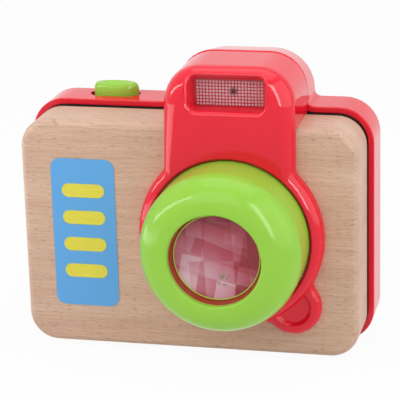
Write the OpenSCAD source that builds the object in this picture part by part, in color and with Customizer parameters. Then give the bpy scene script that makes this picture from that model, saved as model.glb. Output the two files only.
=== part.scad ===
// Toy camera: a beech front block, a moulded rear shell, a keyhole bezel with flash housing,
// a turning lens ring with a faceted lens, and a sprung shutter button.
// Millimetres, Z up, the lens looks along -Y, origin under the middle of the whole camera.

/* [Wooden front block] */
// Width of the wooden block
wood_w = 130; // [110:1:170]
// Height of the wooden block
wood_h = 89.4; // [84:0.2:120]
// Thickness of the wooden block
wood_t = 22; // [18:0.5:34]
// Radius of the block's four corners
wood_corner = 11.2; // [6:0.2:16]
// Rounding of the block's front edge
wood_edge = 2.5; // [0.8:0.1:4]
// Rounding of the block's back edge
wood_back_edge = 1.2; // [0.4:0.1:2]

/* [Rear shell] */
// How far the shell stands out past the wood all round
overhang = 2.3; // [1:0.1:4]
// Depth of the shell from its lip to its back
shell_d = 18.1; // [16.5:0.1:30]
// Wall of the shell
wall = 2.2; // [1.6:0.1:3]
// How much the shell's walls thicken from lip to floor
draft = 0.6; // [0.2:0.1:0.8]
// Rounding of the shell's back edge
shell_edge = 1.6; // [0.6:0.1:2]
// Rounding of the shell's front lip
lip_edge = 0.4; // [0.2:0.1:0.8]
// Dark groove between the wood and the shell's lip
groove = 2; // [1:0.1:3]
// How deep the groove runs in from the edge of the wood
groove_in = 4; // [2:0.5:6]

/* [Flash hump] */
// Sideways place of the hump and the lens axis
hump_x = 17.05; // [0:0.05:26]
// Width of the hump and the bezel's neck
hump_w = 49.7; // [46:0.1:56]
// Rise of the hump above the wood's top
hump_rise = 23; // [22:0.1:32]
// Corner radius of the hump at the seam
hump_corner = 14; // [10:0.2:16]
// Fall of the hump from the seam to the back
hump_fall = 2.7; // [0:0.1:4]
// Corner radius of the hump at the back
hump_back_corner = 15.8; // [10:0.2:17]
// Small fillet between hump and shell top
hump_fillet = 2.4; // [1:0.1:3]
// Open line at the seam between housing and shell
seam = 0.25; // [0.1:0.05:0.5]
// How far the shell stands proud at the seam
seam_step = 0.4; // [0:0.1:0.8]
// Rounding of the housing's front top edge
brow = 8.5; // [5:0.1:9]

/* [Flash window] */
// Width of the flash recess at the front
flash_w = 28.7; // [20:0.1:30]
// Height of the flash recess at the front
flash_h = 12.9; // [10:0.1:14]
// Corner radius of the recess
flash_corner = 3; // [1:0.1:4]
// Rounded lip round the recess
flash_lip = 1.9; // [0.8:0.1:2.2]
// Drop of the recess's middle below the hump's top
flash_drop = 9.45; // [9:0.05:11]
// How much lower the recess ends at the window
flash_slope = 1.15; // [0:0.05:1.6]
// How much narrower the recess ends at the window
flash_taper_w = 1.8; // [0.4:0.1:3]
// How much less high the recess ends at the window
flash_taper_h = 2.7; // [0.4:0.1:3]
// Depth of the window behind the wood's front plane
flash_deep = 1.4; // [0:0.1:3]
// Thickness of the window
window_t = 2; // [1.2:0.1:2.6]
// Width of one ridge in the window's grid
grid_pitch = 1.22; // [1:0.02:1.6]
// Height of one ridge
grid_rise = 0.45; // [0.2:0.05:0.6]

/* [Front bezel] */
// How far the bezel stands out from the wood
bezel_out = 6.5; // [5.5:0.1:8]
// Outer radius of the bezel's lens seat
bezel_r = 35.5; // [34.5:0.1:39]
// Rounding of the bezel's edge
bezel_edge = 4.5; // [3:0.1:5]
// Fillet between neck and lens seat
neck_fillet = 4.5; // [2:0.1:6]
// Floor of the well that the lens ring turns in
web_t = 3; // [2.4:0.1:3.6]
// Direction of the tab from the lens axis
tab_angle = -49; // [-60:1:-40]
// Radius of the tab
tab_r = 10.9; // [9:0.1:12]
// Distance of the tab's centre from the lens axis
tab_reach = 35.4; // [34.5:0.1:38]
// Height of the tab above the wood
tab_out = 3.8; // [3.4:0.1:5]
// Fillet between the tab and the lens seat
tab_fillet = 4; // [2:0.1:5]
// Rounding of the tab's edge
tab_edge = 2.2; // [1:0.1:2.6]
// Radius of the scoop in the tab
scoop_r = 7.4; // [5:0.1:8]
// Depth of the scoop
scoop_deep = 1.5; // [0.6:0.1:2]
// How far the scoop's wall leans out from its floor to the tab's face
scoop_lean = 1.2; // [0.4:0.1:2]

/* [Lens group] */
// Height of the lens axis above the wood's middle
lens_up = 2.6; // [-1:0.1:6]
// Outer radius of the lens ring
ring_r = 30.4; // [29.5:0.1:31]
// How far the lens ring stands out from the wood
ring_out = 31.7; // [29.5:0.1:38]
// Radius of the ring's domed shoulder
dome_r = 12; // [11:0.1:12.2]
// Wall of the lens ring
ring_wall = 2.5; // [2:0.1:3]
// Radius of the hole in the ring's crown
ring_hole = 17.4; // [16.9:0.1:17.6]
// Rounding of the hole's edge
crown_edge = 0.9; // [0.4:0.1:1]
// Radius of the lens
lens_r = 18; // [17.8:0.1:18.2]
// Clear radius in front of the lens
lens_clear = 16.5; // [15.5:0.1:16.8]
// Edge thickness of the lens
lens_t = 3; // [2:0.1:4]
// Side of one lens facet
facet = 7.2; // [5:0.1:9]
// Radius of the dome that the facets touch
facet_dome = 46; // [36:1:80]
// Turn of the facet grid about the lens axis
facet_turn = 10; // [0:1:45]
// Wall of the barrel
barrel_wall = 3; // [2.6:0.1:3.2]
// Running clearance between barrel and sleeve, on the radius
run_clear = 0.06; // [0.03:0.01:0.1]
// Free gap between turning and fixed faces
turn_gap = 0.35; // [0.3:0.05:0.6]
// Open ring between the lens ring and the well
well_gap = 0.5; // [0.35:0.05:0.8]
// Wall of the bezel's sleeve
sleeve_wall = 2.9; // [2.4:0.1:3.2]
// How far the sleeve runs back into the wood
sleeve_back = 10; // [8:0.2:13]
// How far the sleeve runs forward inside the ring
sleeve_front = 9; // [7:0.2:11]

/* [Shutter button] */
// Distance of the button's middle from the wood's left edge
button_in = 29.4; // [24:0.1:36]
// Distance of the button's middle behind the lip
button_back = 10.1; // [9.6:0.1:11]
// Length of the button
button_w = 17.8; // [14:0.1:20]
// Depth of the button
button_d = 9; // [7:0.1:9.4]
// How far the button stands up
button_up = 4.6; // [3.8:0.1:6]
// Travel of the button
button_travel = 3; // [2:0.1:3.2]
// Rounding of the button's rim
button_edge = 1.6; // [0.6:0.1:2]
// Depth of the dish in the button's top
button_dish = 0.7; // [0.2:0.1:1]
// Opening round the button, front and back
button_gap = 0.35; // [0.3:0.05:0.5]
// Opening past the button's ends
button_end_gap = 1.05; // [0.5:0.05:1.4]
// Length of the spring at rest
spring_len = 11; // [9:0.5:16]
// Radius of the coil's middle line
coil_r = 2.9; // [2.4:0.1:3.2]
// Radius of the spring wire
wire_r = 0.35; // [0.25:0.05:0.45]
// Number of curls
curls = 6.5; // [4:0.5:8]

/* [Printed panel] */
// Width of the blue panel
panel_w = 25; // [16:0.5:30]
// Height of the blue panel
panel_h = 59; // [40:0.5:66]
// Distance of the panel from the wood's left edge
panel_in = 11.8; // [9:0.1:14]
// Corner radius of the panel
panel_corner = 3.8; // [1:0.1:6]
// Length of a yellow bar
bar_w = 16.8; // [10:0.2:20]
// Height of a yellow bar
bar_h = 5.4; // [3:0.1:8]
// Spacing of the bars
bar_pitch = 10.75; // [9:0.05:13]
// Thickness of the blue layer
panel_t = 0.2; // [0.1:0.05:0.4]
// Thickness of the yellow layer
bar_t = 0.15; // [0.1:0.05:0.3]

/* [Eyepiece and view tube] */
// Radius of the eyepiece opening in the back
eye_r = 12.5; // [9:0.1:13]
// Thickness of the eyepiece window
eye_t = 2; // [1.4:0.1:2.6]
// Ledge of the back wall over the window
eye_ledge = 2; // [1.2:0.1:2.4]
// Wall of the view tube and the collar it sits on
tube_wall = 2; // [1.5:0.1:2.4]

/* [Screws and posts] */
// Radius of the main screws
screw_r = 1.5; // [1.2:0.1:1.8]
// Radius of their heads
screw_head_r = 3; // [2.4:0.1:3.4]
// Height of their heads
screw_head_h = 2; // [1.4:0.1:2.4]
// Radius of the keeper's small screws
keeper_screw_r = 0.8; // [0.6:0.05:0.9]
// Clearance round screws and heads, on the radius
screw_clear = 0.25; // [0.15:0.05:0.4]
// Pilot hole clearance, on the radius
pilot_clear = 0.02; // [0.01:0.01:0.04]
// Radius of the moulded posts
post_r = 4.2; // [3.8:0.1:4.6]
// Inset of the shell's screws from its outline
post_in = 12; // [11:0.5:15]
// Inset of the frame's side screws from the wood's edge
frame_screw_in = 7.5; // [7:0.5:10]
// Height of the frame's lower screws above the wood's bottom
frame_screw_up = 9; // [8:0.5:12]
// Sideways place of the bezel's upper screws from the lens axis
neck_post_side = 17; // [14:0.5:19]
// Slack between a moulded piece and its seat
seat_gap = 0.1; // [0.05:0.05:0.2]

/* [Hidden] */
$fn = 96;
lip_y = wood_t + groove;
back_y = lip_y + shell_d;
floor_y = back_y - wall;
camera_d = ring_out + back_y;
wood_y = ring_out - camera_d / 2;
shell_half = wood_w / 2 + overhang;
shell_low = -overhang;
shell_high = wood_h + overhang;
shell_corner = wood_corner + overhang;
hump_left = hump_x - hump_w / 2;
hump_right = hump_x + hump_w / 2;
hump_high = wood_h + hump_rise;
lens_z = wood_h / 2 + lens_up;
// Steps along a corner and along a rounded edge
corner_steps = 10;
edge_steps = 6;

// Frame between wood and shell
plate_t = groove + 0.4;
flange_t = 2;
flange_y = wood_t + plate_t;
flange_back = flange_y + flange_t;
frame_slack = 0.3;
post_end = flange_back + 3.6;

// Flash recess: front outline at the brow, smaller outline at the window
flash_z = hump_high - flash_drop;
flash_z2 = flash_z - flash_slope;
flash_w2 = flash_w - flash_taper_w;
flash_h2 = flash_h - flash_taper_h;
window_w = flash_w2 + 2.6;
window_h = flash_h2 + 2.2;
housing_wall = 2.4;
housing_y = flash_deep + window_t;
hump_post_z = hump_high - 11.4;
hump_post_y = housing_y + 6.6;
hump_post_r = 3.2;

// Lens group, all distances from the wood's front plane, forward is negative
barrel_r = lens_r + barrel_wall;
sleeve_r = barrel_r + run_clear;
sleeve_out_r = sleeve_r + sleeve_wall;
wood_bore = sleeve_out_r + 0.4;
well_r = ring_r + well_gap;
dome_x = ring_r - dome_r;
dome_f = ring_out - dome_r;
seat_f = ring_out - 2.4;
lens_f = seat_f - 3;
tube_r = barrel_r + 2.2;
ring_back_f = web_t + turn_gap;
barrel_end = sleeve_back + turn_gap;
keeper_t = 2;
keeper_r = sleeve_out_r - turn_gap;
keeper_hole = lens_r - 0.5;
keeper_screw_at = lens_r + barrel_wall / 2;
keeper_head_h = 1.1;
keeper_head_r = 1.6;
keeper_screw_len = 8;
retainer_t = 3;
retainer_wall = 1.4;
// How much deeper the lens is at the retainer's inner edge than at its own edge
retainer_in = lens_r - retainer_wall;
lens_slope = sqrt(pow(facet_dome, 2) - pow(retainer_in, 2)) - sqrt(pow(facet_dome, 2) - pow(lens_r, 2));
// A flat facet stands past the dome by this much at its corners
facet_over = facet * facet / (4 * facet_dome);
retainer_f = lens_f - lens_t - lens_slope - facet_over - turn_gap / 3;
rib_t = 1.4;
tube_end = sleeve_front + turn_gap + 0.3;

// Eyepiece
eye_disc_r = eye_r + eye_ledge;
collar_r = eye_disc_r + seat_gap + tube_wall;
tube_in_r = collar_r + seat_gap;
tube_out_r = tube_in_r + tube_wall;
tube_front = barrel_end + keeper_t + keeper_head_h + 0.8;
collar_len = 6.6;
eye_ring_t = 2.5;

// Shutter button
button_x = button_in - wood_w / 2;
button_y = lip_y + button_back;
button_low = shell_high - wall - draft - turn_gap;
button_flange_t = 1.8;
button_base = button_low - button_flange_t;
flange_more = 0.6;
flange_end_more = 2.8;
spring_foot = button_base - spring_len;
shelf_t = 2;
shelf_w = 15;
stem_r = coil_r - wire_r - 0.9;
stem_len = spring_len - button_travel - 3.5;
spring_post = 2.4;
opening_shift = -0.5;

// Screw places
shell_posts = [
    [-shell_half + post_in, shell_low + post_in],
    [shell_half - post_in, shell_low + post_in],
    [-shell_half + post_in, shell_high - post_in],
    [shell_half - post_in, shell_high - post_in]
];
frame_places = [
    [frame_screw_in - wood_w / 2, wood_h / 2],
    [wood_w / 2 - frame_screw_in, wood_h / 2],
    [-wood_w / 6, frame_screw_up],
    [wood_w / 6, frame_screw_up]
];
bezel_post_r = 3.4;
bezel_post_at = wood_bore + bezel_post_r + 1.1;
neck_post_z = (lens_z + well_r + wood_h) / 2 - 0.4;
bezel_posts = [
    [hump_x + bezel_post_at * cos(205), lens_z + bezel_post_at * sin(205)],
    [hump_x, lens_z - bezel_post_at],
    [hump_x + bezel_post_at * cos(335), lens_z + bezel_post_at * sin(335)],
    [hump_x - neck_post_side, neck_post_z],
    [hump_x + neck_post_side, neck_post_z]
];
bezel_post_len = 8;
head_sink = 4;
shell_screw_len = 12;
shell_seat = post_end + 5;
hump_seat = lip_y + 6;
frame_screw_len = 14;
bezel_screw_len = wood_t - head_sink + web_t / 2 - 0.4;

// Points along an arc in the XZ plane with the inward direction: [x, z, inward x, inward z].
// side is -1 on an outer corner and 1 on an inner corner.
function arc(x, z, r, from, to, steps, side) = [
    for (i = [0 : steps])
        let (a = from + (to - from) * i / steps)
        [x + r * cos(a), z + r * sin(a), side * cos(a), side * sin(a)]
];

// Outline of a rectangle with round corners, from its four edges
function round_rect(left, right, low, high, r, steps) = concat(
    arc(right - r, low + r, r, -90, 0, steps, -1),
    arc(right - r, high - r, r, 0, 90, steps, -1),
    arc(left + r, high - r, r, 90, 180, steps, -1),
    arc(left + r, low + r, r, 180, 270, steps, -1)
);

// Corner points of an outline moved in by a distance
function flat_points(outline, inset) = [
    for (p = outline) [p[0] + p[2] * inset, p[1] + p[3] * inset]
];

// One ring of 3D points of an outline moved in by a distance, at one depth
function ring_at(outline, inset, y) = [
    for (p = outline) [p[0] + p[2] * inset, y, p[1] + p[3] * inset]
];

// Shell outline with the hump; t runs from 0 at the lip to 1 at the back
function shell_outline(t) =
    let (
        high = hump_high + seam_step - hump_fall * t,
        room = high - shell_high - hump_fillet - 0.2,
        r = min(hump_corner + (hump_back_corner - hump_corner) * t, room)
    )
    concat(
        arc(shell_half - shell_corner, shell_low + shell_corner, shell_corner, -90, 0, corner_steps, -1),
        arc(shell_half - shell_corner, shell_high - shell_corner, shell_corner, 0, 90, corner_steps, -1),
        arc(hump_right + hump_fillet, shell_high + hump_fillet, hump_fillet, 270, 180, 5, 1),
        arc(hump_right - r, high - r, r, 0, 90, corner_steps, -1),
        arc(hump_left + r, high - r, r, 90, 180, corner_steps, -1),
        arc(hump_left - hump_fillet, shell_high + hump_fillet, hump_fillet, 0, -90, 5, 1),
        arc(shell_corner - shell_half, shell_high - shell_corner, shell_corner, 90, 180, corner_steps, -1),
        arc(shell_corner - shell_half, shell_low + shell_corner, shell_corner, 180, 270, corner_steps, -1)
    );

// Keyhole outline of the bezel: lens seat, fillets, neck and arched housing
function keyhole_outline() =
    let (
        dx = hump_w / 2 + neck_fillet,
        dz = sqrt(pow(bezel_r + neck_fillet, 2) - dx * dx),
        turn = atan2(dz, dx),
        r = hump_corner
    )
    concat(
        arc(hump_x, lens_z, bezel_r, 180 - turn, 360 + turn, 54, -1),
        arc(hump_x + dx, lens_z + dz, neck_fillet, 180 + turn, 180, 5, 1),
        arc(hump_right - r, hump_high - r, r, 0, 90, corner_steps, -1),
        arc(hump_left + r, hump_high - r, r, 90, 180, corner_steps, -1),
        arc(hump_x - dx, lens_z + dz, neck_fillet, 0, -turn, 5, 1)
    );

// Rounding of the bezel's edge: small round the lens, growing to the brow over the flash
function edge_at(z) =
    let (
        low = wood_h - 3,
        high = hump_high - hump_corner + 7,
        s = max(0, min(1, (z - low) / (high - low)))
    )
    bezel_edge + (brow - bezel_edge) * s * s * (3 - 2 * s);

// Ring of the bezel at one angle of its edge rounding
function bezel_ring(a) = [
    for (p = keyhole_outline())
        let (r = edge_at(p[1]), inset = r * (1 - cos(a)))
        [p[0] + p[2] * inset, r * (1 - sin(a)) - bezel_out, p[1] + p[3] * inset]
];

// Depth of the housing's front surface at a place, following the rounded brow
function front_at(x, z) =
    let (
        r = hump_corner,
        across = max(0, abs(x - hump_x) - (hump_w / 2 - r)),
        up = max(0, z - (hump_high - r)),
        inside = r - sqrt(across * across + up * up),
        bend = max(0, brow - max(0, inside))
    )
    brow - sqrt(brow * brow - bend * bend) - bezel_out;

// Section of a row of ridges, with a foot that sinks into the plate below
function ridges(count) = concat(
    [[0, -0.5], [count * grid_pitch, -0.5], [count * grid_pitch, 0.05]],
    [for (i = [count - 1 : -1 : 0]) each [[(i + 0.5) * grid_pitch, 0.05 + grid_rise], [i * grid_pitch, 0.05]]]
);

// Solid through a stack of rings, from the back ring to the front ring
module skin(rings) {
    n = len(rings[0]);
    top = len(rings) - 1;
    points = [for (ring = rings) each ring];
    sides = [
        for (k = [0 : top - 1], i = [0 : n - 1])
            let (j = (i + 1) % n, a = k * n, b = a + n)
            each [[b + i, b + j, a + j], [b + i, a + j, a + i]]
    ];
    ends = [[for (i = [0 : n - 1]) i], [for (i = [n - 1 : -1 : 0]) top * n + i]];
    polyhedron(points = points, faces = concat(ends, sides), convexity = 10);
}

// Moves a piece from the wood's own frame, front plane at Y 0 and bottom at Z 0, to the camera
module placed() {
    translate([0, wood_y, overhang]) children();
}

// Stands a shape drawn in XY up in the XZ plane, so that its height runs forward along -Y
module facing(x = 0, z = 0, y = 0) {
    translate([x, y, z]) rotate([90, 0, 0]) children();
}

// Round bar along Y between two depths
module bar_y(x, z, r, from, to) {
    facing(x, z, to) cylinder(r = r, h = to - from);
}

// Cone along Y, radius r1 at the front depth and r2 at the back depth
module cone_y(x, z, r1, r2, from, to) {
    facing(x, z, to) cylinder(r1 = r2, r2 = r1, h = to - from);
}

// Pan head screw along Y with its seat at a depth, the shank pointing forward
module screw(x, z, seat, r, length, head_r, head_h) {
    slot = head_r * 0.62;
    slot_t = head_r * 0.26;
    tip = r * 1.2;
    edge = head_h * 0.45;
    facing(x, z, seat) difference() {
        rotate_extrude() polygon([
            [0, -head_h], [head_r - edge, -head_h], [head_r - edge * 0.3, edge * 0.7 - head_h],
            [head_r, edge - head_h], [head_r, 0], [r, 0], [r, length - tip], [0, length]
        ]);
        translate([-slot, -slot_t / 2, -head_h - 1]) cube([slot * 2, slot_t, 1 + head_h * 0.6]);
        translate([-slot_t / 2, -slot, -head_h - 1]) cube([slot_t, slot * 2, 1 + head_h * 0.6]);
    }
}

// Slot shape standing on Z: two round ends and a straight middle from one half profile
module oval_solid(length, depth, half_profile) {
    straight = length - depth;
    translate([straight / 2, 0, 0]) rotate([0, 0, -90])
        rotate_extrude(angle = 180) polygon(half_profile);
    translate([-straight / 2, 0, 0]) rotate([0, 0, 90])
        rotate_extrude(angle = 180) polygon(half_profile);
    translate([-straight / 2, 0, 0]) rotate([90, 0, 90]) linear_extrude(straight)
        polygon(concat(half_profile, [
            for (i = [len(half_profile) - 2 : -1 : 1]) [-half_profile[i][0], half_profile[i][1]]
        ]));
}

module wood_front_block() {
    outline = round_rect(-wood_w / 2, wood_w / 2, 0, wood_h, wood_corner, corner_steps);
    rings = concat(
        [for (i = [0 : 3]) let (a = 90 - i * 30)
            ring_at(outline, wood_back_edge * (1 - cos(a)), wood_t - wood_back_edge * (1 - sin(a)))],
        [for (i = [0 : edge_steps]) let (a = i * 90 / edge_steps)
            ring_at(outline, wood_edge * (1 - cos(a)), wood_edge * (1 - sin(a)))]
    );
    color("BurlyWood") placed() difference() {
        skin(rings);
        bar_y(hump_x, lens_z, wood_bore, -1, wood_t + 1);
        for (p = bezel_posts) {
            bar_y(p[0], p[1], bezel_post_r + screw_clear, -1, bezel_post_len + screw_clear);
            bar_y(p[0], p[1], screw_r + screw_clear, -1, wood_t + 1);
            bar_y(p[0], p[1], screw_head_r + screw_clear, wood_t - head_sink, wood_t + 1);
        }
        for (p = frame_places)
            bar_y(p[0], p[1], screw_r + pilot_clear, flange_back - frame_screw_len - 1, wood_t + 1);
    }
}

// Lobe at the lower right of the lens seat, with fillets and a round scoop
module tab() {
    near = bezel_r + tab_fillet;
    far = tab_r + tab_fillet;
    u = (near * near - far * far + tab_reach * tab_reach) / (2 * tab_reach);
    v = sqrt(near * near - u * u);
    seat_turn = atan2(v, u);
    lobe_turn = atan2(v, u - tab_reach);
    scoop_over = scoop_lean / scoop_deep;
    outline = concat(
        arc(u, -v, tab_fillet, 180 - seat_turn, 180 - lobe_turn, 5, 1),
        arc(tab_reach, 0, tab_r, -lobe_turn, lobe_turn, 18, -1),
        arc(u, v, tab_fillet, 180 + lobe_turn, 180 + seat_turn, 5, 1)
    );
    rings = concat(
        [ring_at(outline, 0, 0)],
        [for (i = [0 : edge_steps]) let (a = i * 90 / edge_steps)
            ring_at(outline, tab_edge * (1 - cos(a)), tab_edge * (1 - sin(a)) - tab_out)],
        [ring_at(outline, tab_edge, -tab_out - 1)]
    );
    translate([hump_x, 0, lens_z]) rotate([0, -tab_angle, 0]) difference() {
        skin(rings);
        translate([0, -tab_out - 2, -bezel_r]) cube([bezel_r * 2, 2, bezel_r * 2]);
        cone_y(tab_reach, 0, scoop_r + scoop_over, scoop_r - scoop_lean, -tab_out - 1, scoop_deep - tab_out);
    }
}

// Hollow for the flash: rounded lip on the brow, then a funnel back to the window
module flash_recess() {
    front = round_rect(
        hump_x - flash_w / 2, hump_x + flash_w / 2, flash_z - flash_h / 2, flash_z + flash_h / 2,
        flash_corner, 4
    );
    back = round_rect(
        hump_x - flash_w2 / 2, hump_x + flash_w2 / 2, flash_z2 - flash_h2 / 2, flash_z2 + flash_h2 / 2,
        flash_corner * 0.4, 4
    );
    lip = [
        for (a = [0, 15, 30, 45, 60, 75])
            [for (p = front)
                let (
                    out = flash_lip * (1 - cos(a)),
                    x = p[0] - p[2] * out,
                    z = p[1] - p[3] * out
                )
                [x, front_at(x, z) + flash_lip * (1 - sin(a)), z]]
    ];
    away = [for (p = front) [p[0] - p[2] * flash_lip * 1.4, -bezel_out - 2, p[1] - p[3] * flash_lip * 1.4]];
    skin(concat([ring_at(back, 0, flash_deep + 0.5)], lip, [away]));
}

// Arched room inside the housing, open to the back
module housing_room() {
    r = hump_corner - housing_wall;
    room = concat(
        arc(hump_right - hump_corner, hump_high - hump_corner, r, 0, 90, corner_steps, -1),
        arc(hump_left + hump_corner, hump_high - hump_corner, r, 90, 180, corner_steps, -1)
    );
    floor_z = wood_h + housing_wall;
    facing(0, 0, lip_y + 1) linear_extrude(lip_y + 1 - housing_y) polygon(concat(
        flat_points(room, 0),
        [[hump_left + housing_wall, floor_z], [hump_right - housing_wall, floor_z]]
    ));
}

module front_bezel() {
    rings = concat(
        [[for (p = keyhole_outline()) [p[0], lip_y - seam, p[1]]]],
        [for (i = [0 : edge_steps]) bezel_ring(i * 90 / edge_steps)],
        [[for (p = bezel_ring(90)) [p[0], p[1] - 0.4, p[2]]]]
    );
    color("Crimson") placed() difference() {
        union() {
            difference() {
                skin(rings);
                translate([-wood_w, -bezel_out - 2, -wood_h]) cube([wood_w * 2, 2, wood_h * 3]);
                translate([-wood_w, 0, -wood_h]) cube([wood_w * 2, lip_y + 1, wood_h * 2]);
                bar_y(hump_x, lens_z, well_r, -bezel_out - 1, -web_t);
                cone_y(hump_x, lens_z, well_r + 1.8, well_r, -bezel_out - 1, -bezel_out + 0.8);
                flash_recess();
                housing_room();
                translate([hump_x - window_w / 2, flash_deep, flash_z2 - window_h / 2])
                    cube([window_w, window_t + 0.5, window_h]);
            }
            tab();
            bar_y(hump_x, lens_z, sleeve_out_r, -sleeve_front, sleeve_back);
            for (p = bezel_posts) bar_y(p[0], p[1], bezel_post_r, -1, bezel_post_len);
            bar_y(hump_x, hump_post_z, hump_post_r, hump_post_y, lip_y);
            translate([hump_x - 0.8, hump_post_y, hump_post_z])
                cube([1.6, lip_y - seam - hump_post_y, hump_high - housing_wall / 2 - hump_post_z]);
        }
        bar_y(hump_x, lens_z, sleeve_r, -bezel_out - 9, sleeve_back + 1);
        for (p = bezel_posts)
            bar_y(p[0], p[1], screw_r + pilot_clear, -web_t / 2, bezel_post_len + 1);
        bar_y(hump_x, hump_post_z, screw_r + pilot_clear, hump_post_y - 1, lip_y + 1);
    }
}

module mid_frame() {
    plate = round_rect(
        groove_in - wood_w / 2, wood_w / 2 - groove_in, groove_in, wood_h - groove_in,
        max(2, wood_corner - groove_in), corner_steps
    );
    edge = wall + frame_slack;
    flange = round_rect(
        edge - shell_half, shell_half - edge, shell_low + edge, shell_high - edge,
        shell_corner - edge, corner_steps
    );
    shelf_d = floor_y - 0.8 - flange_back;
    color("DimGray") placed() difference() {
        union() {
            facing(0, 0, flange_back - 0.5) linear_extrude(plate_t + flange_t - 0.5)
                polygon(flat_points(plate, 0));
            facing(0, 0, flange_back) linear_extrude(flange_t) polygon(flat_points(flange, 0));
            for (p = shell_posts) bar_y(p[0], p[1], post_r, flange_back - 0.5, post_end);
            translate([button_x - shelf_w / 2, flange_back - 0.5, spring_foot - shelf_t])
                cube([shelf_w, shelf_d + 0.5, shelf_t]);
            for (side = [-1, 1])
                translate([button_x + side * (shelf_w / 2 - 1) - 0.9, flange_back - 0.5, spring_foot - 9])
                    cube([1.8, shelf_d * 0.7, 9]);
            translate([button_x, button_y, spring_foot - 1]) cylinder(r = stem_r, h = spring_post + 1);
        }
        bar_y(hump_x, lens_z, tube_out_r + seat_gap, wood_t - 1, flange_back + 1);
        for (p = shell_posts)
            bar_y(p[0], p[1], screw_r + pilot_clear, wood_t - 1, post_end + 1);
        for (p = frame_places)
            bar_y(p[0], p[1], screw_r + screw_clear, wood_t - 1, flange_back + 1);
    }
}

module rear_shell() {
    soft = [for (i = [0 : 4]) 90 - i * 22.5];
    rings = concat(
        [ring_at(shell_outline(1), shell_edge, back_y + 1)],
        [for (a = soft) let (y = back_y - shell_edge * (1 - sin(a)))
            ring_at(shell_outline((y - lip_y) / shell_d), shell_edge * (1 - cos(a)), y)],
        [ring_at(shell_outline(lip_edge / shell_d), 0, lip_y + lip_edge)],
        [ring_at(shell_outline(0), lip_edge, lip_y)],
        [ring_at(shell_outline(0), wall, lip_y)],
        [ring_at(shell_outline((floor_y - lip_y) / shell_d), wall + draft, floor_y)]
    );
    collar_y = floor_y - collar_len;
    half_w = button_w / 2 + button_end_gap;
    half_d = button_d / 2 + button_gap;
    opening = round_rect(-half_w, half_w, -half_d, half_d, half_d - 0.01, corner_steps);
    color("Crimson") placed() difference() {
        union() {
            difference() {
                skin(rings);
                translate([-wood_w, back_y, -wood_h]) cube([wood_w * 2, 2, wood_h * 3]);
            }
            for (p = shell_posts) bar_y(p[0], p[1], post_r, post_end, floor_y + 0.5);
            bar_y(hump_x, hump_post_z, post_r, lip_y, floor_y + 0.5);
            bar_y(hump_x, lens_z, collar_r, collar_y, floor_y + 0.5);
        }
        bar_y(hump_x, lens_z, eye_disc_r + seat_gap, collar_y - 1, floor_y);
        bar_y(hump_x, lens_z, eye_r, floor_y - 1, back_y + 1);
        cone_y(hump_x, lens_z, eye_r, eye_r + 2, back_y - 1, back_y + 1);
        for (p = shell_posts) {
            bar_y(p[0], p[1], screw_r + screw_clear, post_end - 1, back_y + 1);
            bar_y(p[0], p[1], screw_head_r + screw_clear, shell_seat, back_y + 1);
        }
        bar_y(hump_x, hump_post_z, screw_r + screw_clear, lip_y - 1, back_y + 1);
        bar_y(hump_x, hump_post_z, screw_head_r + screw_clear, hump_seat, back_y + 1);
        translate([button_x + opening_shift, button_y, shell_high - wall - 2]) linear_extrude(wall + 4)
            polygon(flat_points(opening, 0));
    }
}

// Half section of the lens ring: domed shell, crown edge and inner tube over the barrel
module ring_section() {
    inner_r = ring_r - ring_wall;
    difference() {
        union() {
            translate([ring_hole, ring_back_f]) square([ring_r - ring_hole, dome_f - ring_back_f]);
            translate([ring_hole, dome_f - 1]) square([dome_x - ring_hole, dome_r + 1 - crown_edge]);
            translate([ring_hole + crown_edge, dome_f]) square([dome_x - ring_hole - crown_edge, dome_r]);
            translate([ring_hole + crown_edge, ring_out - crown_edge]) circle(crown_edge);
            intersection() {
                translate([dome_x, dome_f]) circle(dome_r);
                translate([dome_x, dome_f]) square(dome_r);
            }
        }
        translate([0, ring_back_f - 1]) square([barrel_r, seat_f - ring_back_f + 1]);
        translate([0, ring_back_f - 1]) square([tube_r, tube_end - ring_back_f + 1]);
        translate([tube_r, ring_back_f - 1]) square([inner_r - tube_r, dome_f - ring_back_f + 1]);
        intersection() {
            translate([dome_x, dome_f]) circle(dome_r - ring_wall);
            translate([tube_r, dome_f - 0.5]) square(dome_r);
        }
    }
}

module lens_ring() {
    inner_r = ring_r - ring_wall;
    color("YellowGreen") placed() facing(hump_x, lens_z) {
        rotate_extrude() ring_section();
        for (i = [0 : 5]) rotate([0, 0, i * 60 + 30])
            translate([tube_r - 0.5, -rib_t / 2, tube_end + 1])
                cube([inner_r - tube_r + 1, rib_t, dome_f - tube_end - 1]);
    }
}

module lens_barrel() {
    color("Firebrick") placed() facing(hump_x, lens_z) difference() {
        rotate_extrude() polygon([
            [lens_r, -barrel_end], [barrel_r, -barrel_end], [barrel_r, seat_f], [ring_hole, seat_f],
            [lens_clear, lens_f], [lens_r, lens_f]
        ]);
        for (i = [0 : 2]) rotate([0, 0, i * 120])
            translate([keeper_screw_at, 0, -barrel_end - 1])
                cylinder(r = keeper_screw_r + pilot_clear, h = keeper_screw_len + 1, $fn = 32);
    }
}

module prism_lens() {
    swell = facet_dome - sqrt(facet_dome * facet_dome - lens_r * lens_r);
    reach = lens_t + swell;
    color("MistyRose", 0.5) placed() facing(hump_x, lens_z, -lens_f) intersection() {
        translate([0, 0, -reach]) cylinder(r = lens_r - pilot_clear, h = reach);
        translate([0, 0, facet_dome - reach]) rotate([0, 0, facet_turn])
            intersection_for(i = [-2 : 2]) intersection_for(j = [-2 : 2])
                rotate([asin(j * facet / facet_dome), asin(i * facet / facet_dome), 0])
                    translate([-60, -60, -facet_dome]) cube([120, 120, facet_dome * 2]);
    }
}

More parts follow.
